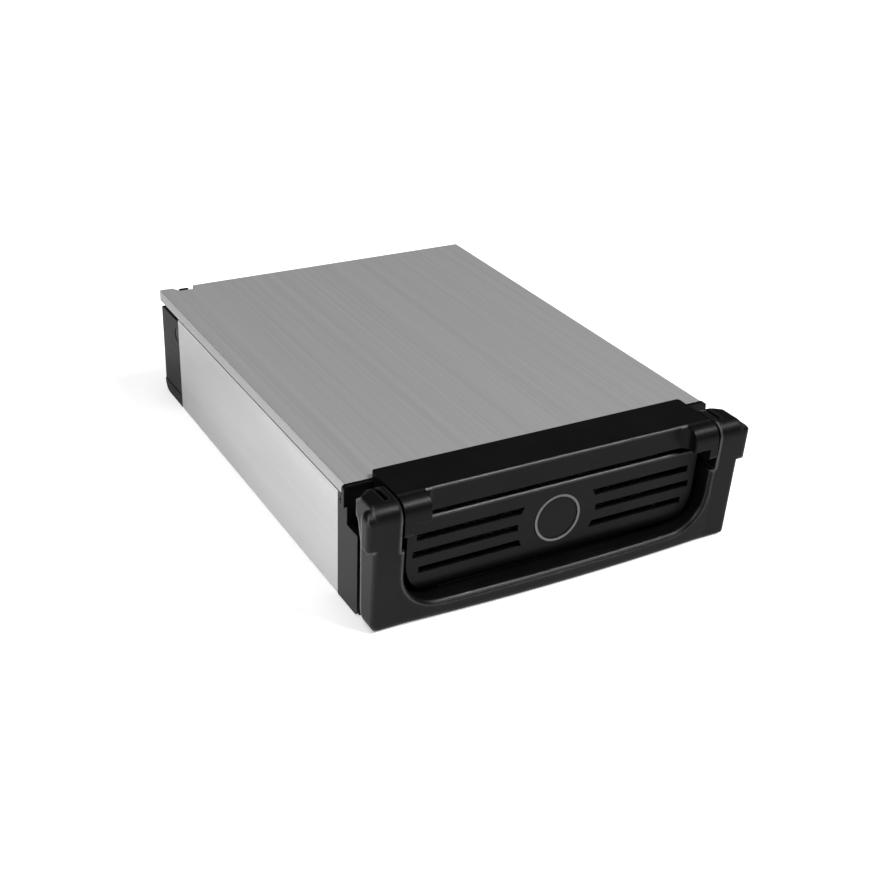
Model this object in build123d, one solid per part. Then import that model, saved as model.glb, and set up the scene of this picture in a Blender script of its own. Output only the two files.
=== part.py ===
from build123d import *
import math
import os

# A removable drive tray: an aluminium channel with a sliding cover, a moulded front with a grille and
# a bail handle, and a moulded rear cap that holds the adapter board.
# Millimetres. X runs across, Y to the rear, Z up. The origin is under the middle of the whole tray.

# Overall size
cover_width = 122.0
cover_length = 154.6
body_height = 38.5
handle_reach = 20.2
overall_length = handle_reach + cover_length
half_width = cover_width / 2
front_edge = handle_reach - overall_length / 2
rear_edge = front_edge + cover_length

# Clearances that several pieces share, and how far a cutting form runs past what it cuts
slide_gap = 0.3
seat_gap = 0.1
pin_gap = 0.05
screw_gap = 0.1
thread_gap = 0.02
past = 1.0

# Aluminium channel
sheet = 1.6
tray_set_back = 4.4
cap_length = 18.6
rail_width = 2.0
drive_pad_height = 1.2
drive_pad_width = 8.0
edge_break = 0.3
tray_front = front_edge + tray_set_back
tray_rear = rear_edge - cap_length
drive_seat = sheet + drive_pad_height
side_inside = half_width - sheet

# Drive that the tray takes, and its screw holes
drive_width = 101.6
drive_screw_across = 95.25
drive_screw_along = 44.45
drive_screw_from_rear = 41.28
drive_rear_set_back = 13.1
drive_hole_radius = 1.8
drive_sink_radius = 3.3
drive_rear = rear_edge - drive_rear_set_back

# Sliding cover
cover_sheet = 1.3
skirt_height = 4.0
bead_reach = 0.7
bead_height = 1.0
cover_edge_radius = 0.4
cover_under = body_height - cover_sheet
skirt_inside = half_width - cover_sheet
skirt_bottom = body_height - skirt_height
bead_inside = skirt_inside - bead_reach
bead_top = skirt_bottom + bead_height

# Rails of the channel, inside the cover's skirts
rail_outside = skirt_inside - slide_gap
rail_inside = rail_outside - rail_width
rail_top = cover_under - slide_gap
rail_root = skirt_bottom - slide_gap - sheet
shoulder = skirt_bottom - slide_gap
groove_inside = bead_inside - slide_gap
groove_top = bead_top + slide_gap

# Notch in the cover's rear left corner, and the latch whose knob stands in it
notch_near = 4.6
notch_slope = 1.9
notch_far = 12.3
notch_depth = 3.3
latch_travel = 1.9
knob_width = 3.2
knob_depth = 2.2
knob_set_in = 0.4
latch_plate = 1.4
latch_length = 7.0
latch_margin = 1.0
tongue_width = 1.4
tongue_depth = 2.0
tongue_length = 5.8
tongue_from_knob = 1.7
lip_depth = 0.8
latch_left = -half_width + notch_far - slide_gap - latch_travel - knob_width - latch_margin
knob_left = latch_left + latch_margin
knob_rear = rear_edge - knob_set_in
latch_top = cover_under - slide_gap
latch_bottom = latch_top - latch_plate
tongue_left = knob_left + (knob_width - tongue_width) / 2
tongue_bottom = latch_bottom - tongue_length
tongue_rear = knob_rear - knob_depth - tongue_from_knob
tongue_front = tongue_rear - tongue_depth

# Strip that guides the latch
guide_sheet = 0.6
guide_width = 1.8
guide_side_play = 0.2
guide_foot_left = 1.8
guide_foot_right = 3.0

# Front moulding
brow_rise = 2.0
brow_half = 52.6
brow_wall = 2.0
brow_ridge = 0.5
brow_lip = 0.7
brow_lip_corner = 1.0
brow_rib = 1.2
brow_rib_pitch = 22.0
fascia_reach = 15.0
block_reach = 20.0
block_inner = 44.2
block_corner = 4.5
block_edge = 0.6
cove_radius = 3.0
beam_depth = 5.2
tab_depth = 9.1
tab_width = 2.7
tab_corner = 1.4
frame_reach = 1.7
frame_back = 0.8
ear_proud = 1.0
ear_corner = 1.2
moulding_wall = 1.6
moulding_lift = 0.1
side_wall_reach = 8.3
side_wall_drop = 12.1
side_wall_toe = 1.5
shoulder_drop = 6.5
shoulder_notch = 1.2
foot_length = 9.0
foot_height = 9.0
brow_top = body_height + brow_rise
beam_bottom = body_height - beam_depth
fascia = front_edge - fascia_reach
block_front = front_edge - block_reach
frame_front = front_edge - frame_reach
frame_rear = front_edge + frame_back
side_wall_front = front_edge - side_wall_reach
pocket_floor = body_height - side_wall_drop
opening_half = drive_width / 2 + 0.6

# Grille panel
grille_half = 49.2
grille_gap = 1.6
grille_step = 0.3
grille_wall = 1.8
grille_lean = 3.0
grille_corner = 14.0
grille_roll = 7.8
grille_bottom = 3.6
grille_tail = 9.1
grille_edge = 0.6
grille_foot_depth = 2.0
leg_thickness = 1.4
leg_low = grille_bottom + grille_corner
leg_high = 27.0
slot_height = 2.2
slot_pitch = 5.5
slot_outer_ends = (45.2, 47.3, 46.2)
slot_circle = 13.3
grille_top = beam_bottom - grille_gap
grille_rear = fascia + grille_tail

# Badge
badge_height = 20.0
badge_radius = 7.75
badge_ring_width = 0.8
badge_proud = 0.25
badge_sunk = 0.1
badge_seat_depth = 0.9

# Bail handle
arm_half = 61.4
arm_inner = 51.8
head_gap = 0.8
head_step = 2.4
grip_height = 5.3
grip_corner = 12.0
grip_edge = 0.9
handle_lift = 0.0
handle_bow = 1.5
handle_depth = 9.2
handle_lean = 3.6
handle_flare = 6.0
handle_edge = 1.0
toe_radius = 1.5
foot_corner = 3.0
heel_radius = 5.4
head_corner = 4.5
head_edge = 1.2
neck_height = 26.3
neck_top = 32.5
neck_step = 1.6
neck_radius = 3.0
lobe_neck_radius = 2.0
lobe_edge = 0.9
lobe_end_low = 35.9
lobe_end_high = 38.0
lobe_rise = 8.6
lobe_back_radius = 5.0
lobe_rear = 4.6
lobe_slant_start = 4.0
lobe_slant_angle = 41.5
lobe_slant_fall = 2.7
lobe_slot_width = 1.6
lobe_slot_wall = 1.7
lobe_slot_front = 15.7
boss_depth = 4.2
boss_bottom = 27.3
boss_top = 39.1
boss_root = 3.4
boss_corner = 3.0
boss_edge = 0.8
boss_top_corner = 2.3
boss_low_corner = 1.2
ledge_height = 25.3
handle_front = front_edge - handle_reach
handle_rear = handle_front + handle_depth
head_inner = brow_half + head_gap
head_half = arm_half + head_step
grip_top = handle_lift + grip_height

# Pivot pins of the handle
pivot_set_back = 13.0
pivot_drop = 5.0
pin_radius = 2.0
pin_seat = 3.4
pin_boss_wall = 2.2
bore_end_wall = 1.3
pivot_y = front_edge - pivot_set_back
pivot_z = body_height - pivot_drop
pin_inner = brow_half - pin_seat
bore_outer = arm_half - bore_end_wall
pin_outer = bore_outer - slide_gap

# Screws
small_screw_radius = 1.25
small_head_radius = 2.2
small_head_height = 1.1
flat_head_radius = 2.5
flat_head_height = 1.25
front_screw_length = 7.6
cap_screw_length = 3.6
board_screw_length = 5.0

# Rear cap
cap_wall = 1.8
cap_side_drop = 5.5
cap_corner = 4.0
cap_inset = 0.2
cap_lift = 0.1
cap_step_height = 4.4
cap_step = 0.2
cap_set_in = 0.7
cap_top_corner = 0.8
gate_gap = 0.25
tab_sheet = 1.4
tab_root = 8.0
tab_length = 9.0
tab_low = 8.0
tab_high = 30.0
cap_screw_set_back = 2.6
cap_screw_drop = 11.0
recess_floor = 0.5
post_length = 4.4
post_half = 3.0
cap_front = tray_rear + seat_gap
cap_rear = rear_edge - cap_set_in
cap_inside = cap_rear - cap_wall
cap_side = half_width - cap_inset
cap_side_top = body_height - cap_side_drop
recess_seat = cap_side - cap_wall + recess_floor
cap_screw_y = tray_rear + cap_screw_set_back
cap_screw_z = body_height - cap_screw_drop

# Adapter board
board_thickness = 1.6
board_half = 49.0
board_bottom = 4.4
board_top = 31.0
board_corner = 1.0
board_screw_inset = 4.0
board_rear = cap_inside - post_length
board_front = board_rear - board_thickness

# Socket for the drive, with one mouth for data and one for power
socket_offset = 20.7
socket_width = 42.6
socket_height = 5.4
socket_depth = 8.2
socket_above_seat = 4.9
socket_floor = 1.5
socket_edge = 0.5
mouth_low = 0.9
mouth_high = 1.1
contact_pitch = 1.27
contact_width = 0.6
contact_thickness = 0.3
contact_set_in = 1.0
mouth_gap_pitches = 2.6
power_contacts = 15
data_contacts = 7
socket_level = drive_seat + socket_above_seat
socket_front = board_front - socket_depth

# Shrouded plug at the back
dock_width = 50.0
dock_height = 9.0
dock_wall = 1.2
dock_level = 17.5
dock_corner = 1.0
dock_set_in = 0.2
dock_floor = 1.5
dock_blade_inset = 4.0
dock_blade_margin = 2.0
dock_blade = 1.4
dock_contact_width = 0.7
dock_contact_thickness = 0.2
dock_rear = cap_rear - dock_set_in

# Capacitors on the board
capacitor_radius = 2.5
capacitor_length = 4.2
capacitor_height = 20.0
capacitor_places = (-12.0, -20.0)


def block(x0, x1, y0, y1, z0, z1):
    """A rectangular block between two corners."""
    middle = Pos((x0 + x1) / 2, (y0 + y1) / 2, (z0 + z1) / 2)
    return middle * Box(x1 - x0, y1 - y0, z1 - z0)


def rod_along_x(x0, x1, y, z, radius):
    """A round rod that runs across the tray."""
    return Pos((x0 + x1) / 2, y, z) * Rot(0, 90, 0) * Cylinder(radius, x1 - x0)


def rod_along_y(x, y0, y1, z, radius):
    """A round rod that runs along the tray."""
    return Pos(x, (y0 + y1) / 2, z) * Rot(90, 0, 0) * Cylinder(radius, y1 - y0)


def outline(corners):
    """A closed face from corners given as (u, v, radius)."""
    points = [(u, v) for u, v, radius in corners]
    radii = [radius for u, v, radius in corners]
    return make_face(FilletPolyline(*points, radius=radii, close=True))


def side_form(corners, x0, x1):
    """An outline in the (y, z) plane, pulled from x0 to x1."""
    return extrude(Plane.YZ.offset(x0) * outline(corners), amount=x1 - x0)


def front_form(corners, y0, y1):
    """An outline in the (x, z) plane, pulled from y0 to y1."""
    return extrude(Plane.XZ.offset(-y1) * outline(corners), amount=y1 - y0)


def both_sides(shape):
    """A right-hand piece and its mirror image."""
    return shape + mirror(shape, about=Plane.YZ)


# Aluminium channel and its cover


def channel_tray():
    """The extruded channel: floor, two sides, two cover rails and two raised drive pads."""
    pad_inside = (drive_screw_across - drive_pad_width) / 2
    pad_outside = (drive_screw_across + drive_pad_width) / 2
    right = [
        (0, 0, 0),
        (half_width, 0, cover_edge_radius),
        (half_width, shoulder, 0),
        (groove_inside, shoulder, 0),
        (groove_inside, groove_top, 0),
        (rail_outside, groove_top, 0),
        (rail_outside, rail_top, 0),
        (rail_inside, rail_top, 0),
        (rail_inside, rail_root, 0),
        (side_inside, rail_root, 0),
        (side_inside, sheet, 0),
        (pad_outside, sheet, 0),
        (pad_outside, drive_seat, edge_break),
        (pad_inside, drive_seat, edge_break),
        (pad_inside, sheet, 0),
        (0, sheet, 0),
    ]
    body = both_sides(front_form(right, tray_front, tray_rear))
    body += both_sides(cap_tab())
    body -= drive_screw_holes()
    body -= both_sides(front_screw_hole())
    return body


def cap_tab():
    """The flat tab inside the right rear corner that the cap slips over."""
    tab_outside = cap_side - cap_wall - seat_gap
    tab_inside = tab_outside - tab_sheet
    root = block(tab_inside, side_inside, tray_rear - tab_root, tray_rear, tab_low, tab_high)
    tongue = block(tab_inside, tab_outside, tray_rear, tray_rear + tab_length, tab_low, tab_high)
    thread = rod_along_x(tab_inside - past, tab_outside + past, cap_screw_y, cap_screw_z,
                         small_screw_radius + thread_gap)
    return root + tongue - thread


def drive_screw_places():
    """The four bottom screw places of the drive."""
    rear_pair = drive_rear - drive_screw_from_rear
    for side in (-1, 1):
        for step in (0, 1):
            yield side * drive_screw_across / 2, rear_pair - step * drive_screw_along


def drive_screw_holes():
    """Countersunk clearance holes for the drive's four bottom screws."""
    sink = drive_sink_radius - drive_hole_radius
    holes = Part()
    for x, y in drive_screw_places():
        holes += Pos(x, y, drive_seat / 2) * Cylinder(drive_hole_radius, drive_seat + past)
        holes += Pos(x, y, sink / 2) * Cone(drive_sink_radius, drive_hole_radius, sink)
    return holes


def front_screw_place():
    """Where the right front screw comes up through the floor."""
    return (opening_half + rail_inside) / 2, tray_front + foot_length / 2


def front_screw_hole():
    """The countersunk floor hole of the right front screw."""
    x, y = front_screw_place()
    through = Pos(x, y, sheet / 2) * Cylinder(small_screw_radius + screw_gap, sheet + past)
    mouth = flat_head_radius + screw_gap
    sink = Pos(x, y, flat_head_height / 2) * Cone(mouth, small_screw_radius + screw_gap, flat_head_height)
    return through + sink


def sliding_cover():
    """The brushed cover: a flat sheet with two skirts whose beads run in the channel's grooves."""
    right = [
        (0, cover_under, 0),
        (skirt_inside, cover_under, 0),
        (skirt_inside, bead_top, 0),
        (bead_inside, bead_top, 0),
        (bead_inside, skirt_bottom, 0),
        (half_width, skirt_bottom, edge_break),
        (half_width, body_height, cover_edge_radius),
        (0, body_height, 0),
    ]
    cover = both_sides(front_form(right, front_edge, rear_edge))
    left = -half_width
    notch = [
        (left + notch_near, rear_edge + past, 0),
        (left + notch_near, rear_edge, 0),
        (left + notch_near + notch_slope, rear_edge - notch_depth, edge_break),
        (left + notch_far, rear_edge - notch_depth, edge_break),
        (left + notch_far, rear_edge + past, 0),
    ]
    cutter = extrude(outline(notch), amount=cover_sheet + 2 * past)
    return cover - Pos(0, 0, cover_under - past) * cutter


def cover_latch():
    """The plastic slider under the cover: a knob in the notch and a tongue behind the cap's rear wall."""
    latch_right = latch_left + latch_length
    latch_front = tongue_front - guide_width - 2 * guide_side_play - lip_depth
    plate = block(latch_left, latch_right, latch_front, knob_rear, latch_bottom, latch_top)
    knob_front = knob_rear - knob_depth
    knob_top = body_height - slide_gap
    knob_outline = [
        (knob_front, latch_top, 0),
        (knob_front + edge_break, knob_top, edge_break),
        (knob_rear, knob_top, edge_break),
        (knob_rear, latch_top, 0),
    ]
    knob = side_form(knob_outline, knob_left, knob_left + knob_width)
    tongue = block(tongue_left, tongue_left + tongue_width, tongue_front, tongue_rear, tongue_bottom,
                   latch_bottom)
    lip = block(latch_left, latch_right, latch_front, latch_front + lip_depth, latch_bottom - lip_depth,
                latch_bottom)
    return plate + knob + tongue + lip


def latch_guide():
    """The folded steel strip, spot welded under the cover, that the latch slides on."""
    strip_rear = tongue_front - guide_side_play
    strip_front = strip_rear - guide_width
    well_left = latch_left - slide_gap
    well_right = latch_left + latch_length + latch_travel + slide_gap
    foot_left = well_left - guide_sheet - guide_foot_left
    foot_right = well_right + guide_sheet + guide_foot_right
    foot_under = cover_under - guide_sheet
    floor = latch_bottom - slide_gap
    hat = [
        (foot_left, cover_under, 0),
        (foot_left, foot_under, 0),
        (well_left - guide_sheet, foot_under, 0),
        (well_left - guide_sheet, floor - guide_sheet, 0),
        (well_right + guide_sheet, floor - guide_sheet, 0),
        (well_right + guide_sheet, foot_under, 0),
        (foot_right, foot_under, 0),
        (foot_right, cover_under, 0),
        (well_right, cover_under, 0),
        (well_right, floor, 0),
        (well_left, floor, 0),
        (well_left, cover_under, 0),
    ]
    return front_form(hat, strip_front, strip_rear)


# Front moulding


def front_bezel():
    """The front moulding: frame round the drive, side walls, brow, pivot blocks and handle pockets."""
    body = frame_plate() + both_sides(side_wall()) + bottom_wall()
    body += brow_beam() + both_sides(pivot_block()) + cover_lip() + both_sides(inner_wall())
    body += both_sides(screw_foot())
    return body - both_sides(pin_hole() + screw_pilot())


def frame_plate():
    """The upright frame behind the front, open for the drive's front end and for air."""
    ear = half_width + ear_proud
    ear_bottom = body_height - shoulder_drop
    outer = [
        (-half_width, moulding_lift, toe_radius),
        (half_width, moulding_lift, toe_radius),
        (half_width, ear_bottom, 0),
        (ear, ear_bottom, 0),
        (ear, body_height, ear_corner),
        (-ear, body_height, ear_corner),
        (-ear, ear_bottom, 0),
        (-half_width, ear_bottom, 0),
    ]
    opening = [
        (-opening_half, drive_seat - slide_gap, 0),
        (opening_half, drive_seat - slide_gap, 0),
        (opening_half, beam_bottom - moulding_wall, brow_wall),
        (-opening_half, beam_bottom - moulding_wall, brow_wall),
    ]
    plate = front_form(outer, frame_front, frame_rear)
    plate -= front_form(opening, frame_front - past, frame_rear + past)
    cover_room = block(-ear - past, ear + past, front_edge - seat_gap, frame_rear + past, rail_root,
                       body_height + past)
    return plate - cover_room


def side_wall():
    """The right outer wall: low beside the handle's arm, higher behind the frame."""
    rear = tray_front - seat_gap
    step = body_height - shoulder_drop
    wall = [
        (side_wall_front, moulding_lift, side_wall_toe),
        (rear, moulding_lift, 0),
        (rear, step - shoulder_notch, 0),
        (rear - shoulder_notch, step, 0),
        (frame_front, step, 0),
        (frame_front, pocket_floor, 0),
        (side_wall_front, pocket_floor, edge_break),
    ]
    return side_form(wall, half_width - moulding_wall, half_width)


def bottom_wall():
    """The wall under the frame, which the grille panel's foot rests on."""
    inside = half_width - moulding_wall / 2
    top = moulding_lift + moulding_wall
    return block(-inside, inside, side_wall_front, frame_rear, moulding_lift, top)


def brow_beam():
    """The hollow brow above the grille, with its flat top, upright strip and inner ribs."""
    beam = block(-block_inner - past, block_inner + past, fascia, front_edge - seat_gap, beam_bottom,
                 brow_top)
    ridge = beam.edges().filter_by(Axis.X).group_by(Axis.Y)[0].sort_by(Axis.Z)[-1]
    beam = fillet(ridge, brow_ridge)
    hollow = block(-block_inner + brow_wall, block_inner - brow_wall, fascia + brow_wall, frame_front,
                   beam_bottom - past, brow_top - brow_wall)
    for step in (-1, 0, 1):
        middle = step * brow_rib_pitch
        hollow -= block(middle - brow_rib / 2, middle + brow_rib / 2, fascia, frame_front, beam_bottom - past,
                        brow_top)
    return beam - hollow


def cover_lip():
    """The thin lip behind the brow that covers the sliding cover's front edge."""
    corners = [
        (-brow_half, frame_front, 0),
        (brow_half, frame_front, 0),
        (brow_half, front_edge + brow_lip, brow_lip_corner),
        (-brow_half, front_edge + brow_lip, brow_lip_corner),
    ]
    low = body_height + slide_gap
    return Pos(0, 0, low) * extrude(outline(corners), amount=brow_top - low)


def pivot_block():
    """The right end of the brow, which stands forward and carries the handle's pin."""
    rear = front_edge - seat_gap
    upper = [
        (block_front, beam_bottom, edge_break),
        (rear, beam_bottom, 0),
        (rear, brow_top, 0),
        (block_front, brow_top, block_corner),
    ]
    plan = [
        (block_inner, block_front, block_edge),
        (brow_half, block_front, 0),
        (brow_half, rear, 0),
        (block_inner, rear, 0),
    ]
    body = side_form(upper, block_inner, brow_half) & extrude(outline(plan), amount=brow_top)
    tab = [
        (block_front, body_height - tab_depth, tab_corner),
        (frame_front, body_height - tab_depth, 0),
        (frame_front, brow_top, 0),
        (block_front, brow_top, block_corner),
    ]
    body += side_form(tab, brow_half - tab_width, brow_half)
    body += Pos(block_inner - cove_radius, fascia - cove_radius, 0) * cove()
    return body + rod_along_x(pin_inner, brow_half, pivot_y, pivot_z, pin_radius + pin_boss_wall)


def cove():
    """The hollow-rounded corner where the strip turns forward into the block."""
    root = cove_radius + brow_ridge
    top = brow_top - brow_ridge
    square = block(0, root, 0, root, beam_bottom, top)
    return square - Pos(0, 0, (beam_bottom + top) / 2) * Cylinder(cove_radius, top)


def inner_wall():
    """The right inner wall, which shuts the drive's space off from the handle's pocket."""
    return block(opening_half, brow_half, handle_rear + slide_gap, frame_front + edge_break, moulding_lift,
                 beam_bottom + edge_break)


def screw_foot():
    """The right foot inside the channel, where a floor screw holds the moulding."""
    inner = opening_half + slide_gap
    outer = side_inside - seat_gap
    rear = tray_front + foot_length
    foot = block(inner, outer, front_edge, rear, sheet, foot_height)
    web = block(outer - moulding_wall, outer, front_edge, rear, sheet, rail_root - slide_gap)
    heel = block(inner, outer, front_edge, tray_front - seat_gap, moulding_lift, foot_height)
    return foot + web + heel


def screw_pilot():
    """The pilot hole for the right floor screw."""
    x, y = front_screw_place()
    return Pos(x, y, foot_height / 2) * Cylinder(small_screw_radius + thread_gap, foot_height - sheet)


def pin_hole():
    """The hole that the right pivot pin is pressed into."""
    return rod_along_x(pin_inner - past, brow_half + past, pivot_y, pivot_z, pin_radius)


def pivot_pin():
    """The right steel pin, from the pivot block into the handle's head."""
    return rod_along_x(pin_inner, pin_outer, pivot_y, pivot_z, pin_radius)


def front_screws():
    """Two flat-head screws that come up through the floor into the front moulding."""
    x, y = front_screw_place()
    shank = Pos(x, y, front_screw_length / 2) * Cylinder(small_screw_radius, front_screw_length)
    head = Pos(x, y, flat_head_height / 2) * Cone(flat_head_radius, small_screw_radius, flat_head_height)
    return both_sides(head + shank)


# Grille panel and badge


def grille_face_y(z):
    """How far forward the leaning grille face stands at a height."""
    return fascia - grille_step + (grille_top - z) * math.tan(math.radians(grille_lean))


def grille_panel():
    """The grille insert: a leaning face that rolls back under, with rounded lower corners and slots."""
    low = grille_bottom + grille_wall
    section = [
        (grille_face_y(grille_top), grille_top, grille_edge),
        (grille_face_y(grille_bottom), grille_bottom, grille_roll),
        (grille_rear, grille_bottom, 0),
        (grille_rear, low, 0),
        (grille_face_y(low) + grille_wall, low, grille_roll - grille_wall),
        (grille_face_y(grille_top) + grille_wall, grille_top, edge_break),
    ]
    front = [
        (-grille_half, grille_bottom, grille_corner),
        (grille_half, grille_bottom, grille_corner),
        (grille_half, grille_top + past, 0),
        (-grille_half, grille_top + past, 0),
    ]
    panel = side_form(section, -grille_half, grille_half) & front_form(front, handle_front, front_edge)
    panel += both_sides(panel_leg()) + panel_foot()
    for row in (-1, 0, 1):
        panel -= both_sides(grille_slot(row))
    return panel - rod_along_y(0, handle_front, badge_floor(), badge_height, badge_radius)


def panel_leg():
    """The leg behind the panel's right end, which is welded to the moulding's inner wall."""
    outer = grille_half - edge_break
    inner = outer - leg_thickness
    rear = grille_rear - leg_thickness
    leg = block(inner, outer, fascia + grille_wall / 2, rear, leg_low, leg_high)
    foot = block(inner, opening_half, handle_rear + slide_gap, rear, leg_low, leg_high)
    return leg + foot


def panel_foot():
    """The rib under the panel's rear edge that rests on the moulding's bottom wall."""
    reach = grille_half - grille_corner
    floor = moulding_lift + moulding_wall
    return block(-reach, reach, grille_rear - grille_foot_depth, grille_rear, floor, grille_bottom)


def grille_slot(row):
    """One long slot right of the badge; its inner end follows a circle round the badge."""
    z = badge_height + row * slot_pitch
    outer_end = slot_outer_ends[row + 1]
    behind = fascia + 2 * grille_wall
    slot = block(0, outer_end, handle_front, behind, z - slot_height / 2, z + slot_height / 2)
    return slot - rod_along_y(0, handle_front, behind, badge_height, slot_circle)


def badge_floor():
    """The depth of the flat seat behind the badge."""
    return grille_face_y(badge_height) + badge_seat_depth


def badge_ring():
    """The thin bright ring round the plain badge."""
    front = grille_face_y(badge_height) - badge_proud
    outer = badge_radius - pin_gap
    inner = outer - badge_ring_width
    ring = rod_along_y(0, front, badge_floor(), badge_height, outer)
    return ring - rod_along_y(0, front - past, badge_floor() + past, badge_height, inner)


def badge_disc():
    """The plain dark disc set in the ring."""
    front = grille_face_y(badge_height) + badge_sunk
    return rod_along_y(0, front, badge_floor(), badge_height, badge_radius - 2 * pin_gap - badge_ring_width)


# Bail handle


def handle_face_y(z):
    """How far forward the leaning handle face stands at a height."""
    return handle_front + (brow_top - head_corner - z) * math.tan(math.radians(handle_lean))


def bail_handle():
    """The U-shaped bail: two arms with cam heads, joined by the grip along the bottom."""
    front = [
        (-arm_half, handle_lift, foot_corner),
        (arm_half, handle_lift, foot_corner),
        (arm_half, brow_top, head_edge),
        (-arm_half, brow_top, head_edge),
    ]
    bail = side_form(handle_section(), -arm_half, arm_half)
    bail &= leaning_column(-arm_half, arm_half, front_edge, handle_edge)
    bail &= front_form(front, handle_front - past, front_edge + past)
    bail += bowed_face()
    bail -= both_sides(lobe_slant() + lobe_slot())
    bail += both_sides(head_boss())
    bail -= grip_opening()
    bail -= block(-head_inner, head_inner, handle_front - handle_bow - past, front_edge, ledge_height,
                  brow_top + past)
    bail = chamfer(opening_rim(bail), grip_edge)
    return bail - both_sides(pin_bore())


def handle_section():
    """The handle seen from the side: leaning front, round heel, rounded head and rear cam lobe."""
    lobe_y = front_edge - lobe_rear
    return [
        (handle_face_y(brow_top), brow_top, head_corner),
        (handle_face_y(handle_lift), handle_lift, toe_radius),
        (handle_rear, handle_lift, heel_radius),
        (handle_rear, neck_height, neck_radius),
        (handle_rear + neck_step, neck_top, lobe_neck_radius),
        (lobe_y, lobe_end_low, lobe_edge),
        (lobe_y, lobe_end_high, lobe_edge),
        (front_edge - lobe_rise, brow_top, lobe_back_radius),
    ]


def leaning_column(x0, x1, rear, rounding):
    """A column behind the handle's leaning front plane, with its two upright front edges rounded."""
    low = handle_lift - past
    high = brow_top + past
    side = [
        (handle_face_y(low), low, 0),
        (rear, low, 0),
        (rear, high, 0),
        (handle_face_y(high), high, 0),
    ]
    column = side_form(side, x0, x1)
    upright = column.faces().sort_by(Axis.Y)[0].edges().filter_by(Axis.X, reverse=True)
    return fillet(upright, rounding)


def bowed_face():
    """The shallow bow of the handle's leaning face between its heads, with a rounded toe."""
    front = ThreePointArc((-head_inner, 0), (0, -handle_bow), (head_inner, 0))
    back = Polyline((head_inner, 0), (head_inner, past), (-head_inner, past), (-head_inner, 0))
    bow = extrude(make_face(front + back), amount=ledge_height - handle_lift)
    toe = bow.faces().sort_by(Axis.Z)[0].edges().sort_by(Axis.Y)[0]
    low = handle_lift + handle_bow * math.tan(math.radians(handle_lean))
    return Pos(0, handle_face_y(low), low) * Rot(handle_lean, 0, 0) * fillet(toe, toe_radius)


def lobe_slant():
    """The slanted cut behind the lobe of the right head, which also lets its top fall to the outside."""
    reach = arm_half
    behind = [
        (0, neck_height, 0),
        (reach, neck_height, 0),
        (reach, brow_top + past, 0),
        (-lobe_slant_fall, brow_top + past, 0),
        (-lobe_slant_fall, brow_top, 0),
        (0, lobe_end_high, 0),
    ]
    place = Pos(head_inner + lobe_slant_start, front_edge - lobe_rear, 0) * Rot(0, 0, -lobe_slant_angle)
    return place * side_form(behind, -head_step, arm_half)


def lobe_slot():
    """The narrow slot between the lobe and the inner cheek of the right head."""
    inner = head_inner + lobe_slot_wall
    floor = pivot_z + pin_radius + bore_end_wall
    return block(inner, inner + lobe_slot_width, front_edge - lobe_slot_front, front_edge, floor,
                 brow_top + past)


def head_boss():
    """The raised pad on the outside of the right head, at its front."""
    rear = handle_front + boss_depth
    root = arm_half - boss_root
    side = [
        (handle_face_y(boss_top), boss_top, boss_corner),
        (handle_face_y(boss_bottom), boss_bottom, edge_break),
        (rear, boss_bottom, 0),
        (rear, boss_top, 0),
    ]
    front = [
        (root, boss_bottom, 0),
        (head_half, boss_bottom, boss_low_corner),
        (head_half, boss_top, boss_top_corner),
        (root, boss_top, 0),
    ]
    boss = side_form(side, root, head_half)
    boss &= leaning_column(root - past, head_half, front_edge, boss_edge)
    return boss & front_form(front, handle_front - past, front_edge)


def grip_opening():
    """The opening between the arms, which widens to the rear so that fingers reach behind the grip."""
    mouth = [
        (-arm_inner, grip_top, grip_corner),
        (arm_inner, grip_top, grip_corner),
        (arm_inner, ledge_height + past, 0),
        (-arm_inner, ledge_height + past, 0),
    ]
    flare_start = handle_face_y(grip_top) + 2 * grip_edge
    face = Plane.XZ.offset(-flare_start) * outline(mouth)
    rear_half = extrude(face, amount=-2 * handle_depth, taper=-handle_flare)
    front_half = extrude(face, amount=handle_depth + handle_bow)
    return rear_half + front_half


def opening_rim(bail):
    """The front edges of the opening: along the grip and round its two corners."""
    front = bail.edges().filter_by(lambda edge: edge.center().Y < handle_face_y(grip_top))
    inside = front.filter_by(lambda edge: abs(edge.center().X) < arm_inner + seat_gap)
    return inside.filter_by(lambda edge: grip_top - seat_gap < edge.center().Z < ledge_height - past)


def pin_bore():
    """The blind bore in the right head that turns on the pin."""
    return rod_along_x(head_inner - past, bore_outer, pivot_y, pivot_z, pin_radius + pin_gap)


# Rear cap, board and connectors


def rear_cap():
    """The moulded rear cap: side, bottom and rear walls, a low step, and posts for the board."""
    shell = [
        (cap_front, cap_lift, 0),
        (cap_rear, cap_lift, cap_corner),
        (cap_rear, cap_side_top, cap_top_corner),
        (cap_front, cap_side_top, 0),
    ]
    band = [
        (cap_front, cap_lift, 0),
        (cap_rear + cap_step, cap_lift, cap_corner),
        (cap_rear + cap_step, cap_step_height, 0),
        (cap_front, cap_step_height, 0),
    ]
    hollow = [
        (cap_front - past, cap_lift + cap_wall, 0),
        (cap_inside, cap_lift + cap_wall, cap_corner - cap_wall),
        (cap_inside, body_height, 0),
        (cap_front - past, body_height, 0),
    ]
    body = side_form(shell, -cap_side, cap_side) + wall_top()
    body += side_form(band, -cap_side - cap_step, cap_side + cap_step)
    body -= side_form(hollow, -cap_side + cap_wall, cap_side - cap_wall)
    for x, z in board_screw_places():
        body += block(x - post_half, x + post_half, board_rear, cap_inside + cap_wall / 2, z - post_half,
                      z + post_half)
        body -= rod_along_y(x, board_rear - past, cap_inside, z, small_screw_radius + thread_gap)
    return body - dock_window() - latch_gate() - both_sides(cap_screw_recess())


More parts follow.
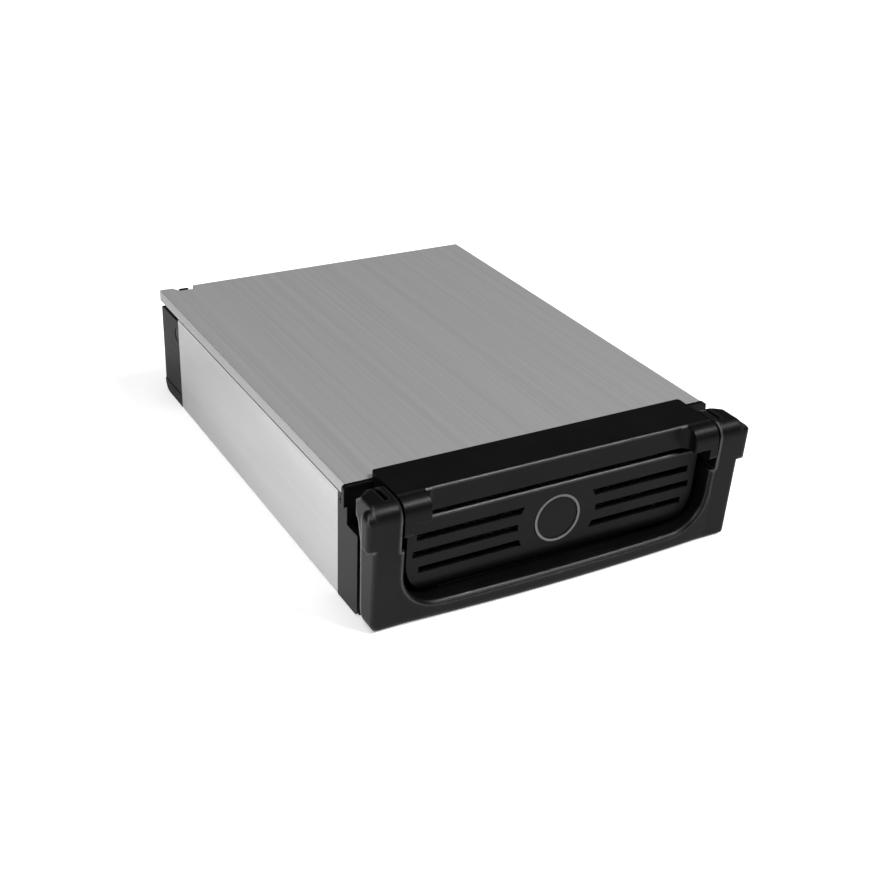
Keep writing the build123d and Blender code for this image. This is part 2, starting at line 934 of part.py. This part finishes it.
def wall_top():
    """The rear wall's raised middle, which closes the gap under the cover."""
    left = latch_left + latch_length + latch_travel + guide_foot_right + latch_length
    right = groove_inside
    return block(left, right, cap_inside, cap_rear, cap_side_top - past, latch_top)


def latch_gate():
    """The slot in the rear wall that lets the unlocked latch tongue out."""
    left = tongue_left - gate_gap
    right = tongue_left + tongue_width + gate_gap
    return block(left, right, cap_inside - past, cap_rear + past, tongue_bottom - slide_gap,
                 cap_side_top + past)


def cap_screw_recess():
    """The deep round recess of the right side screw."""
    hole = rod_along_x(cap_side - cap_wall - past, cap_side + past, cap_screw_y, cap_screw_z,
                       small_screw_radius + screw_gap)
    return hole + rod_along_x(recess_seat, cap_side + past, cap_screw_y, cap_screw_z,
                              small_head_radius + screw_gap)


def cap_screws():
    """Two pan-head screws that hold the cap to the channel's tabs."""
    head = rod_along_x(recess_seat, recess_seat + small_head_height, cap_screw_y, cap_screw_z,
                       small_head_radius)
    shank = rod_along_x(recess_seat - cap_screw_length, recess_seat, cap_screw_y, cap_screw_z,
                        small_screw_radius)
    return both_sides(head + shank)


def board_screw_places():
    """Two opposite corners where the board is screwed to the cap's posts."""
    across = board_half - board_screw_inset
    return [(-across, board_bottom + board_screw_inset), (across, board_top - board_screw_inset)]


def adapter_board():
    """The upright circuit board between the drive's socket and the dock plug."""
    corners = [
        (-board_half, board_bottom, board_corner),
        (board_half, board_bottom, board_corner),
        (board_half, board_top, board_corner),
        (-board_half, board_top, board_corner),
    ]
    board = front_form(corners, board_front, board_rear)
    for x, z in board_screw_places():
        board -= rod_along_y(x, board_front - past, board_rear + past, z, small_screw_radius + screw_gap)
    return board


def board_screws():
    """Two pan-head screws through the board into the cap's posts."""
    screws = Part()
    for x, z in board_screw_places():
        screws += rod_along_y(x, board_front - small_head_height, board_front, z, small_head_radius)
        screws += rod_along_y(x, board_front, board_front + board_screw_length, z, small_screw_radius)
    return screws


def contact_places():
    """The places across the tray of the data contacts and of the power contacts."""
    steps = data_contacts - 1 + mouth_gap_pitches + power_contacts - 1
    start = socket_offset - steps * contact_pitch / 2
    data = [start + step * contact_pitch for step in range(data_contacts)]
    start = data[-1] + mouth_gap_pitches * contact_pitch
    return data, [start + step * contact_pitch for step in range(power_contacts)]


def drive_connector():
    """The socket that the drive's edge connector pushes into."""
    half = socket_width / 2
    body = block(socket_offset - half, socket_offset + half, socket_front, board_front,
                 socket_level - socket_height / 2, socket_level + socket_height / 2)
    body = chamfer(body.faces().sort_by(Axis.Y)[0].edges(), socket_edge)
    for places in contact_places():
        body -= block(places[0] - contact_pitch, places[-1] + contact_pitch, socket_front - past,
                      board_front - socket_floor, socket_level - mouth_low, socket_level + mouth_high)
    return body


def drive_contacts():
    """The spring contacts in the two mouths of the drive's socket."""
    floor = socket_level - mouth_low
    half = contact_width / 2
    contacts = Part()
    for places in contact_places():
        for x in places:
            contacts += block(x - half, x + half, socket_front + contact_set_in, board_front - socket_floor,
                              floor, floor + contact_thickness)
    return contacts


def dock_connector():
    """The shrouded plug that mates with the bay as the tray slides in."""
    half = dock_width / 2
    low = dock_level - dock_height / 2
    high = dock_level + dock_height / 2
    shroud = block(-half, half, board_rear, dock_rear, low, high)
    shroud = fillet(shroud.edges().filter_by(Axis.Y), dock_corner)
    shroud -= block(-half + dock_wall, half - dock_wall, board_rear + dock_floor, dock_rear + past,
                    low + dock_wall, high - dock_wall)
    blade = half - dock_blade_inset
    return shroud + block(-blade, blade, board_rear + dock_floor / 2, dock_rear - dock_set_in,
                          dock_level - dock_blade / 2, dock_level + dock_blade / 2)


def dock_contacts():
    """The flat contacts along the top of the dock plug's blade."""
    count = power_contacts + data_contacts
    reach = dock_width / 2 - dock_blade_inset - dock_blade_margin
    pitch = 2 * reach / (count - 1)
    low = dock_level + dock_blade / 2
    half = dock_contact_width / 2
    contacts = Part()
    for step in range(count):
        x = step * pitch - reach
        contacts += block(x - half, x + half, board_rear + dock_floor, dock_rear - 2 * dock_set_in, low,
                          low + dock_contact_thickness)
    return contacts


def dock_window():
    """The opening in the cap's rear wall round the dock plug."""
    half = dock_width / 2 + seat_gap
    reach = dock_height / 2 + seat_gap
    return block(-half, half, cap_inside - past, cap_rear + past, dock_level - reach, dock_level + reach)


def board_capacitors():
    """Two round capacitors that smooth the drive's supply, on the board's front face."""
    cans = Part()
    for x in capacitor_places:
        cans += rod_along_y(x, board_front - capacitor_length, board_front, capacitor_height,
                            capacitor_radius)
    return cans


nodes = {
    "channel_tray": channel_tray(),
    "sliding_cover": sliding_cover(),
    "cover_latch": cover_latch(),
    "latch_guide": latch_guide(),
    "front_bezel": front_bezel(),
    "grille_panel": grille_panel(),
    "badge_ring": badge_ring(),
    "badge_disc": badge_disc(),
    "bail_handle": bail_handle(),
    "pivot_pin_right": pivot_pin(),
    "pivot_pin_left": mirror(pivot_pin(), about=Plane.YZ),
    "front_screws": front_screws(),
    "rear_cap": rear_cap(),
    "cap_screws": cap_screws(),
    "adapter_board": adapter_board(),
    "board_screws": board_screws(),
    "drive_connector": drive_connector(),
    "drive_contacts": drive_contacts(),
    "dock_connector": dock_connector(),
    "dock_contacts": dock_contacts(),
    "board_capacitors": board_capacitors(),
}

os.makedirs("parts", exist_ok=True)
for name, shape in nodes.items():
    export_step(shape, f"parts/{name}.step")
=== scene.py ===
import math

import bmesh
import bpy
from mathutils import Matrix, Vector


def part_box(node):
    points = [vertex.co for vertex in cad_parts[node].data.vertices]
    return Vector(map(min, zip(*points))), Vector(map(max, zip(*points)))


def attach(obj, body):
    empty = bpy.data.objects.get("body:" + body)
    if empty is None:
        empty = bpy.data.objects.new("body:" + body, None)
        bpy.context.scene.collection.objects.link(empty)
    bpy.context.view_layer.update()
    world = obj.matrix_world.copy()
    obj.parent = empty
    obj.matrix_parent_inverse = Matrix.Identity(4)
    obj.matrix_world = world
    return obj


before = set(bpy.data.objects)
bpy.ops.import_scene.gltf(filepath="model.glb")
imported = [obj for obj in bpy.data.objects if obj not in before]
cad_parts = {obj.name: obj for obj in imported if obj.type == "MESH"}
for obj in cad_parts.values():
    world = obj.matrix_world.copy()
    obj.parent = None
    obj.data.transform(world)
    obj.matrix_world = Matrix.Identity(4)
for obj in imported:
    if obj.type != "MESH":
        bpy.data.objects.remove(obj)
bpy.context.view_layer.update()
scene = bpy.context.scene
scene.view_settings.view_transform = "Standard"
mm = 0.001

# Camera. It stands in front of the tray's left front corner and a little above it, turned a touch
# on its own axis. Its place was fitted to the tray's straight edges.
eye = (-0.20086, -0.36283, 0.22511)
tilt, roll, turn = 62.367, -1.849, -28.583
focal_length = 57.154
film_width = 36
nearest = 0.01
camera = bpy.data.objects.new("camera", bpy.data.cameras.new("camera"))
camera.location = eye
camera.rotation_euler = [math.radians(angle) for angle in (tilt, roll, turn)]
camera.data.lens = focal_length
camera.data.sensor_width = film_width
camera.data.clip_start = nearest
scene.collection.objects.link(camera)
scene.camera = camera

# Floor. A wide sheet of matt white card that the tray stands on. A faint glow lifts it to white for
# the camera, and shiny surfaces see it brightest beside the tray's left front.
floor_reach = 6.0
floor_drop = 0.05 * mm
card_colour = 0.82
card_roughness = 0.9
tray_middle = (0, 0, 0)
glow_reach = (0.3, 1.6)
card_glow, far_glow = 0.45, 0.8
shine_middle = (-0.13, -0.07, 0)
shine_reach = (0.04, 0.17)
near_shine, far_shine = 0.68, 0.03


def grey(level):
    """A colour with no hue."""
    return (level, level, level)


def new_finish(name, colour, roughness, metallic=0.0, shine=0.5):
    """A material whose surface has this colour, roughness, share of metal and shine."""
    finish = bpy.data.materials.new(name)
    finish.use_nodes = True
    surface = finish.node_tree.nodes["Principled BSDF"]
    surface.inputs["Base Color"].default_value = (*colour, 1)
    surface.inputs["Roughness"].default_value = roughness
    surface.inputs["Metallic"].default_value = metallic
    surface.inputs["Specular IOR Level"].default_value = shine
    return finish


def new_piece(name, bm):
    """A scene object made from a finished bmesh, which stays at the origin."""
    mesh = bpy.data.meshes.new(name)
    bm.to_mesh(mesh)
    bm.free()
    piece = bpy.data.objects.new(name, mesh)
    scene.collection.objects.link(piece)
    return piece


def spread(tree, value, start, end, first, last):
    """A number that goes from first to last while the value goes from start to end."""
    scale = tree.nodes.new("ShaderNodeMapRange")
    for limit, number in zip(
        ("From Min", "From Max", "To Min", "To Max"), (start, end, first, last)
    ):
        scale.inputs[limit].default_value = number
    tree.links.new(value, scale.inputs["Value"])
    return scale.outputs["Result"]


white_card = new_finish("white_card", grey(card_colour), card_roughness, shine=0)
card = white_card.node_tree
rays = card.nodes.new("ShaderNodeLightPath")
card_place = card.nodes.new("ShaderNodeTexCoord")


def card_distance(point):
    """How far each place on the card is from a point."""
    gap = card.nodes.new("ShaderNodeVectorMath")
    gap.operation = "DISTANCE"
    gap.inputs[1].default_value = point
    card.links.new(card_place.outputs["Object"], gap.inputs[0])
    return gap.outputs["Value"]


def card_sum(operation, one, other):
    """One of the card's numbers, worked out from two others."""
    answer = card.nodes.new("ShaderNodeMath")
    answer.operation = operation
    card.links.new(one, answer.inputs[0])
    card.links.new(other, answer.inputs[1])
    return answer.outputs[0]


plain_glow = spread(card, card_distance(tray_middle), *glow_reach, card_glow, far_glow)
mirrored_glow = spread(card, card_distance(shine_middle), *shine_reach, near_shine, far_shine)
mirrored = card_sum("MAXIMUM", rays.outputs["Is Glossy Ray"], rays.outputs["Is Transmission Ray"])
glow = card_sum(
    "ADD",
    card_sum("MULTIPLY", rays.outputs["Is Camera Ray"], plain_glow),
    card_sum("MULTIPLY", mirrored, mirrored_glow),
)
card.nodes["Principled BSDF"].inputs["Emission Color"].default_value = (*grey(1), 1)
card.links.new(glow, card.nodes["Principled BSDF"].inputs["Emission Strength"])

bm = bmesh.new()
bmesh.ops.create_grid(bm, x_segments=1, y_segments=1, size=floor_reach / 2)
bmesh.ops.translate(bm, verts=bm.verts, vec=(0, 0, -floor_drop))
floor = new_piece("floor", bm)
floor.data.materials.append(white_card)

# Light. A dim grey studio, white behind the tray, with three soft panels: a large one on the left
# for the tray's side, one above the right front that shows as lines in the rounded edges, and one
# overhead for the cover. Each has its place, its width and height, and its power.
studio_grey, studio_white = 0.05, 1.0
panels = {
    "left_panel": ((-2.2, -1.0, 1.5), (1.8, 1.8), 30.0),
    "front_panel": ((1.08, -1.1, 2.0), (0.9, 0.5), 60.0),
    "top_panel": ((-0.15, 0.0, 1.6), (1.0, 1.0), 11.0),
}
world = bpy.data.worlds.new("studio")
world.use_nodes = True
studio = world.node_tree
seen = studio.nodes.new("ShaderNodeLightPath")
backdrop = spread(studio, seen.outputs["Is Camera Ray"], 0, 1, studio_grey, studio_white)
studio.links.new(backdrop, studio.nodes["Background"].inputs["Color"])
scene.world = world
aim = bpy.data.objects.new("aim", None)
scene.collection.objects.link(aim)
for name, (place, (width, height), power) in panels.items():
    lamp = bpy.data.objects.new(name, bpy.data.lights.new(name, "AREA"))
    lamp.data.shape = "RECTANGLE"
    lamp.data.size = width
    lamp.data.size_y = height
    lamp.data.energy = power
    lamp.location = place
    facing = lamp.constraints.new("TRACK_TO")
    facing.target = aim
    scene.collection.objects.link(lamp)

# Aluminium channel. One extrusion that makes the floor, both sides and the cover's rails, left
# satin. Faint lines run along it from the die, and the sides have a soft cloudy sheen.
faint_mark, strong_mark = 0.3, 0.7
edge_samples = 6


def grain(finish, across, along, upward, detail=2.0):
    """Noise in the piece's own coordinates, with so many marks per metre in each direction."""
    tree = finish.node_tree
    place = tree.nodes.new("ShaderNodeTexCoord")
    stretch = tree.nodes.new("ShaderNodeMapping")
    stretch.inputs["Scale"].default_value = (across, along, upward)
    noise = tree.nodes.new("ShaderNodeTexNoise")
    noise.inputs["Scale"].default_value = 1
    noise.inputs["Detail"].default_value = detail
    tree.links.new(place.outputs["Object"], stretch.inputs["Vector"])
    tree.links.new(stretch.outputs["Vector"], noise.inputs["Vector"])
    return noise.outputs["Fac"]


def vary(finish, marks, socket, low, high, start=faint_mark, end=strong_mark):
    """The marks move a plain number of the surface between two values."""
    tree = finish.node_tree
    number = spread(tree, marks, start, end, low, high)
    tree.links.new(number, tree.nodes["Principled BSDF"].inputs[socket])


def tint(finish, marks, dark, light):
    """The marks move the surface's colour between two colours."""
    tree = finish.node_tree
    ramp = tree.nodes.new("ShaderNodeValToRGB")
    for stop, place, colour in zip(
        ramp.color_ramp.elements, (faint_mark, strong_mark), (dark, light)
    ):
        stop.position = place
        stop.color = (*colour, 1)
    tree.links.new(marks, ramp.inputs["Fac"])
    tree.links.new(ramp.outputs["Color"], tree.nodes["Principled BSDF"].inputs["Base Color"])


def rounded_edges(finish, rounding):
    """The surface's direction as if its sharp edges had this radius."""
    edges = finish.node_tree.nodes.new("ShaderNodeBevel")
    edges.samples = edge_samples
    edges.inputs["Radius"].default_value = rounding
    return edges


def relief(finish, marks, depth, strength, rounding):
    """The marks stand up by a depth, and sharp edges catch the light as if rounded."""
    tree = finish.node_tree
    edges = rounded_edges(finish, rounding)
    bump = tree.nodes.new("ShaderNodeBump")
    bump.inputs["Distance"].default_value = depth
    bump.inputs["Strength"].default_value = strength
    tree.links.new(marks, bump.inputs["Height"])
    tree.links.new(edges.outputs["Normal"], bump.inputs["Normal"])
    for socket in ("Normal", "Coat Normal"):
        tree.links.new(bump.outputs["Normal"], tree.nodes["Principled BSDF"].inputs[socket])
    return edges


def dress(finish, *cad_nodes):
    """Gives CAD pieces their finish."""
    for cad_node in cad_nodes:
        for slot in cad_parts[cad_node].material_slots:
            slot.material = finish


satin_aluminium = new_finish("satin_aluminium", grey(0.6), roughness=0.5, metallic=0.6)
die_lines = grain(satin_aluminium, across=900, along=6, upward=900)
clouds = grain(satin_aluminium, across=60, along=14, upward=60)
tint(satin_aluminium, clouds, dark=grey(0.57), light=grey(0.63))
vary(satin_aluminium, die_lines, "Roughness", low=0.42, high=0.56)
relief(satin_aluminium, die_lines, depth=0.02 * mm, strength=0.3, rounding=0.12 * mm)
dress(satin_aluminium, "channel_tray")

# Sliding cover. A thin aluminium profile with two skirts, its top brushed lengthwise with an
# abrasive belt, so that fine streaks and broader bands run from front to rear. Its colour is
# painted lighter on faces that turn sideways, a painted sheen on the skirts for the light they
# catch from the side.
skirt_painted_sheen, top_tone = 1.5, 1.0
skirt_facing, top_facing = 0.3, 0.9
brushed_aluminium = new_finish("brushed_aluminium", grey(0.34), roughness=0.6, metallic=0.5)
streaks = grain(brushed_aluminium, across=2600, along=12, upward=2600, detail=3.0)
bands = grain(brushed_aluminium, across=900, along=3, upward=900, detail=6.0)
tint(brushed_aluminium, bands, dark=grey(0.32), light=grey(0.36))
vary(brushed_aluminium, streaks, "Roughness", low=0.57, high=0.64)
relief(brushed_aluminium, streaks, depth=0.01 * mm, strength=0.2, rounding=0.15 * mm)
# Painted sheen: the base colour is scaled by which way each face turns, so the side-facing skirts
# are painted half again lighter than the top.
tree = brushed_aluminium.node_tree
outward = tree.nodes.new("ShaderNodeTexCoord")
upward = tree.nodes.new("ShaderNodeSeparateXYZ")
tree.links.new(outward.outputs["Normal"], upward.inputs[0])
painted_side_sheen = spread(tree, upward.outputs["Z"], skirt_facing, top_facing, skirt_painted_sheen, top_tone)
shade = tree.nodes.new("ShaderNodeVectorMath")
shade.operation = "SCALE"
brushed = tree.nodes["Principled BSDF"].inputs["Base Color"]
tree.links.new(brushed.links[0].from_socket, shade.inputs[0])
tree.links.new(painted_side_sheen, shade.inputs["Scale"])
tree.links.new(shade.outputs[0], brushed)
dress(brushed_aluminium, "sliding_cover")

# Front moulding, grille insert, latch and handle. Black glass-filled plastic from spark-eroded
# moulds, which leave a fine matt grain. The edges are soft, softest on the handle, and the brow's
# ridge, the grille's top edge and the handle's corners are rubbed brighter by use.
plastic_dark, plastic_light = grey(0.0025), grey(0.004)
plastic_shine = 0.11
handle_shine = 1.0
plain_gloss, handle_gloss = 0.0, 1.0
gloss_roughness = 0.25
worn_corner = (0.98, 0.8)
line_shine = 0.6
moulded = {
    "black_plastic": (0.3 * mm, ("front_bezel", "cover_latch")),
    "grille_plastic": (0.2 * mm, ("grille_panel",)),
    "handle_plastic": (1.6 * mm, ("bail_handle",)),
}
rubbed_lines = {
    "black_plastic": (0, -82.15 * mm, 40.45 * mm),
    "grille_plastic": (0, -82.45 * mm, 31.6 * mm),
}
rubbed_width = (0.8 * mm, 0.45 * mm)
soft_width = (1.2 * mm, 1.5 * mm)
soft_edge = 0.8 * mm
side_view = (0, 1, 1)


def speckle(finish, density):
    """Even noise, with so many marks per metre in every direction."""
    return grain(finish, across=density, along=density, upward=density)


def corners(finish, rounding):
    """How flat the surface is at each place, from 1 on a plain face to less on an edge."""
    tree = finish.node_tree
    edges = rounded_edges(finish, rounding)
    face = tree.nodes.new("ShaderNodeNewGeometry")
    turned = tree.nodes.new("ShaderNodeVectorMath")
    turned.operation = "DOT_PRODUCT"
    tree.links.new(edges.outputs["Normal"], turned.inputs[0])
    tree.links.new(face.outputs["Normal"], turned.inputs[1])
    return turned.outputs["Value"]


def away(finish, line):
    """The distance from a line that runs straight across the front."""
    tree = finish.node_tree
    place = tree.nodes.new("ShaderNodeTexCoord")
    level = tree.nodes.new("ShaderNodeVectorMath")
    level.operation = "MULTIPLY"
    level.inputs[1].default_value = side_view
    distance = tree.nodes.new("ShaderNodeVectorMath")
    distance.operation = "DISTANCE"
    distance.inputs[1].default_value = line
    tree.links.new(place.outputs["Object"], level.inputs[0])
    tree.links.new(level.outputs[0], distance.inputs[0])
    return distance.outputs["Value"]


plastics = {}
edge_radii = {}
for name, (rounding, dressed) in moulded.items():
    plastic = new_finish(name, plastic_dark, roughness=0.38)
    mould_grain = speckle(plastic, density=2800)
    vary(plastic, mould_grain, "Roughness", low=0.32, high=0.42)
    tint(plastic, speckle(plastic, density=90), plastic_dark, plastic_light)
    edges = relief(plastic, mould_grain, depth=0.05 * mm, strength=0.4, rounding=rounding)
    dress(plastic, *dressed)
    plastics[name] = plastic
    edge_radii[name] = edges.inputs["Radius"]

handle_plastic = plastics["handle_plastic"]
handle_surface = handle_plastic.node_tree.nodes["Principled BSDF"]
handle_surface.inputs["Coat Roughness"].default_value = gloss_roughness
handle_corners = corners(handle_plastic, moulded["handle_plastic"][0])
vary(
    handle_plastic, handle_corners, "Specular IOR Level", plastic_shine, handle_shine, *worn_corner
)
vary(handle_plastic, handle_corners, "Coat Weight", plain_gloss, handle_gloss, *worn_corner)

for name, line in rubbed_lines.items():
    plastic = plastics[name]
    distance = away(plastic, line)
    vary(plastic, distance, "Specular IOR Level", plastic_shine, line_shine, *rubbed_width)
    softness = spread(plastic.node_tree, distance, *soft_width, soft_edge, moulded[name][0])
    plastic.node_tree.links.new(softness, edge_radii[name])

# Rear lip of the front moulding's bottom wall. A thin flange moulded with the wall, which laps back
# to the channel's front edge and shuts the slot between them.
lip_half = 50.0 * mm
lip_depth = 1.5 * mm
lip_gap = 0.1 * mm
lip_rounding = 0.2 * mm
wall_rear = -66.4 * mm
lip_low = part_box("front_bezel")[0][2]
lip_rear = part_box("channel_tray")[0][1] - lip_gap
bm = bmesh.new()
bmesh.ops.create_cube(bm, size=1)
bmesh.ops.scale(bm, verts=bm.verts, vec=(2 * lip_half, lip_rear - wall_rear, lip_depth))
lip_middle = (0, (lip_rear + wall_rear) / 2, lip_low + lip_depth / 2)
bmesh.ops.translate(bm, verts=bm.verts, vec=lip_middle)
bmesh.ops.bevel(
    bm,
    geom=bm.edges[:],
    offset=lip_rounding,
    affect="EDGES",
    segments=2,
    profile=0.5,
    material=-1,
)
bottom_lip = new_piece("bottom_lip", bm)
bottom_lip.data.materials.append(plastics["black_plastic"])
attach(bottom_lip, "tray")

# Rear cap. The moulding that closes the tray's rear end and carries the board, screwed to tabs on
# the channel. It is the same black plastic, from a mould with a coarser matt grain.
cap_plastic = new_finish("cap_plastic", plastic_dark, roughness=0.5, shine=0.2)
cap_grain = speckle(cap_plastic, density=2000)
vary(cap_plastic, cap_grain, "Roughness", low=0.46, high=0.56)
tint(cap_plastic, speckle(cap_plastic, density=90), plastic_dark, plastic_light)
relief(cap_plastic, cap_grain, depth=0.05 * mm, strength=0.5, rounding=0.3 * mm)
dress(cap_plastic, "rear_cap")

# Badge. A plain disc of smooth black plastic in a thin bright metal ring, pressed into a round seat
# in the grille. The ring has fine marks from polishing.
badge_plastic = new_finish("badge_plastic", grey(0.006), roughness=0.32, shine=0.1)
vary(badge_plastic, speckle(badge_plastic, density=1500), "Roughness", low=0.28, high=0.36)
dress(badge_plastic, "badge_disc")
bright_ring = new_finish("bright_ring", grey(0.15), roughness=0.3, metallic=1.0)
polishing_marks = speckle(bright_ring, density=3000)
vary(bright_ring, polishing_marks, "Roughness", low=0.24, high=0.38)
relief(bright_ring, polishing_marks, depth=0.01 * mm, strength=0.2, rounding=0.25 * mm)
dress(bright_ring, "badge_ring")

# Pins, screws and the latch's guide strip. Small steel parts, zinc plated. The screws that hold
# the plastic pieces at both ends are near black instead, a painted shade that stands in for the
# shade in the rear cap's screw holes and inside the tray behind the grille.
plated_steel = new_finish("plated_steel", (0.6, 0.6, 0.62), roughness=0.35, metallic=1.0)
plating = speckle(plated_steel, density=1200)
vary(plated_steel, plating, "Roughness", low=0.28, high=0.45)
tint(plated_steel, plating, dark=(0.5, 0.5, 0.52), light=(0.66, 0.66, 0.68))
dress(plated_steel, "pivot_pin_left", "pivot_pin_right", "board_screws", "latch_guide")
# Near-black steel, painted dark as shade for the screws that sit in holes and behind the grille.
black_steel = new_finish("black_steel", grey(0.012), roughness=0.5, metallic=0.3)
vary(black_steel, speckle(black_steel, density=1500), "Roughness", low=0.42, high=0.58)
dress(black_steel, "cap_screws", "front_screws")

# Adapter board. Glass-fibre board with copper tracks, which show faintly through the green solder
# mask. It stands upright and is screwed to the rear cap's posts.
circuit_board = new_finish("circuit_board", (0.02, 0.1, 0.045), roughness=0.35)
tracks = grain(circuit_board, across=400, along=400, upward=60)
tint(circuit_board, tracks, dark=(0.012, 0.07, 0.03), light=(0.03, 0.13, 0.06))
vary(circuit_board, tracks, "Roughness", low=0.28, high=0.4)
dress(circuit_board, "adapter_board")

# Connectors. The socket that the drive pushes into and the plug for the bay, on the two faces of
# the board. Their housings are moulded in black plastic and their contacts are gold plated.
connector_plastic = new_finish("connector_plastic", grey(0.014), roughness=0.45)
vary(connector_plastic, speckle(connector_plastic, density=2000), "Roughness", low=0.38, high=0.52)
gold_contacts = new_finish("gold_contacts", (0.8, 0.56, 0.2), roughness=0.25, metallic=1.0)
vary(gold_contacts, speckle(gold_contacts, density=2000), "Roughness", low=0.18, high=0.32)
dress(connector_plastic, "drive_connector", "dock_connector")
dress(gold_contacts, "drive_contacts", "dock_contacts")

# Capacitors. Two small round aluminium cans that smooth the drive's supply, soldered to the
# board's front face.
capacitor_can = new_finish("capacitor_can", (0.7, 0.7, 0.72), roughness=0.3, metallic=1.0)
vary(capacitor_can, speckle(capacitor_can, density=1500), "Roughness", low=0.24, high=0.38)
dress(capacitor_can, "board_capacitors")
